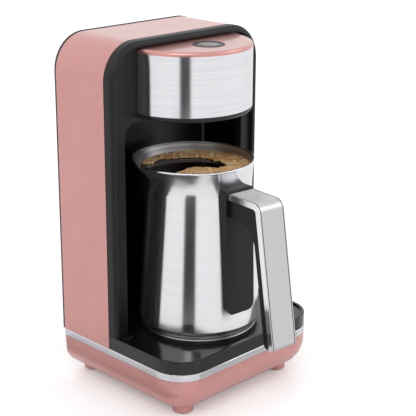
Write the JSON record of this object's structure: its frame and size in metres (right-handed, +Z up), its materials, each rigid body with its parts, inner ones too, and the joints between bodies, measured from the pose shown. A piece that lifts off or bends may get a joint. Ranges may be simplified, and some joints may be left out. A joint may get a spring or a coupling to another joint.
{
  "type": "electric turkish coffee maker",
  "caption": "Free-standing electric Turkish coffee maker: lift-out steel pot with side handle on a heated deck, under a half-round head with a push button.",
  "frame": {"origin": "centre of the whole object's box, on the surface it stands on", "axes": "+Z up, +X to the user's right, -Y to the user"},
  "size_m": [0.1556, 0.1787, 0.2781],
  "materials": {
    "coral_paint": "metallic rose satin lacquer",
    "trim_silver": "bright silver plated trim",
    "black_gloss": "high gloss moulded plastic",
    "screw_steel": "zinc plated",
    "rubber_grey": "matt",
    "plate_alu": "turned",
    "silicone": "matt",
    "element_steel": "drawn sheath",
    "pressed_steel": "zinc plated",
    "circuit_board": "solder mask",
    "component_black": "moulded",
    "copper_coil": "enamelled wire and yellow tape",
    "terminal_green": "moulded",
    "panel_grey": "fine spark eroded texture",
    "frame_grey": "fine satin moulded plastic",
    "black_satin": "satin moulded plastic",
    "band_steel": "fine horizontal brushing",
    "lens_clear": "tinted infrared window",
    "pot_steel": "fine circumferential brushing",
    "handle_silver": "satin silver lacquer with bright edge",
    "button_metal": "spun dark anodised"
  },
  "bodies": {
    "housing": {"back_panel": "panel_grey", "base_screws": "screw_steel", "base_shell": "coral_paint", "base_top": "black_gloss", "base_trim_band": "trim_silver", "board_screws": "screw_steel", "button_bezel": "trim_silver", "button_guide": "black_satin", "button_spring": "pressed_steel", "buzzer": "component_black", "clamp_screws": "screw_steel", "cord_grommet": "rubber_grey", "element_clamp": "pressed_steel", "filter_capacitor": "component_black", "foot_pad_front_left": "rubber_grey", "foot_pad_front_right": "rubber_grey", "foot_pad_rear_left": "rubber_grey", "foot_pad_rear_right": "rubber_grey", "front_frame": "frame_grey", "head_housing": "black_satin", "head_lid": "coral_paint", "head_screws": "screw_steel", "heating_element": "element_steel", "hot_plate": "plate_alu", "niche_liner": "black_gloss", "outer_shell": "coral_paint", "panel_screws": "screw_steel", "plate_seal": "silicone", "power_board": "circuit_board", "power_relay": "component_black", "sensor_board": "circuit_board", "sensor_lens": "lens_clear", "steel_band": "band_steel", "switch_board": "circuit_board", "switch_screws": "screw_steel", "tact_switch": "component_black", "terminal_block": "terminal_green", "thermal_cutout": "pressed_steel", "transformer": "copper_coil"},
    "pot": {"handle_bracket": "black_satin", "handle_core": "black_satin", "handle_cover": "handle_silver", "handle_screw": "screw_steel", "handle_stud": "pressed_steel", "pot_base_disc": "plate_alu", "pot_body": "pot_steel"},
    "button": {"button_cap": "button_metal"}
  },
  "joints": [
    {"name": "pot_lift", "type": "slide", "parent": "housing", "child": "pot", "axis": [0, -0.9659, 0.2588], "range_m": [0, 0.15]},
    {"name": "button_press", "type": "slide", "parent": "housing", "child": "button", "axis": [0, 0, -1], "range_m": [0, 0.0012], "stiffness_N_per_m": 300, "springref_m": -0.002, "deforming": ["button_spring"]}
  ]
}
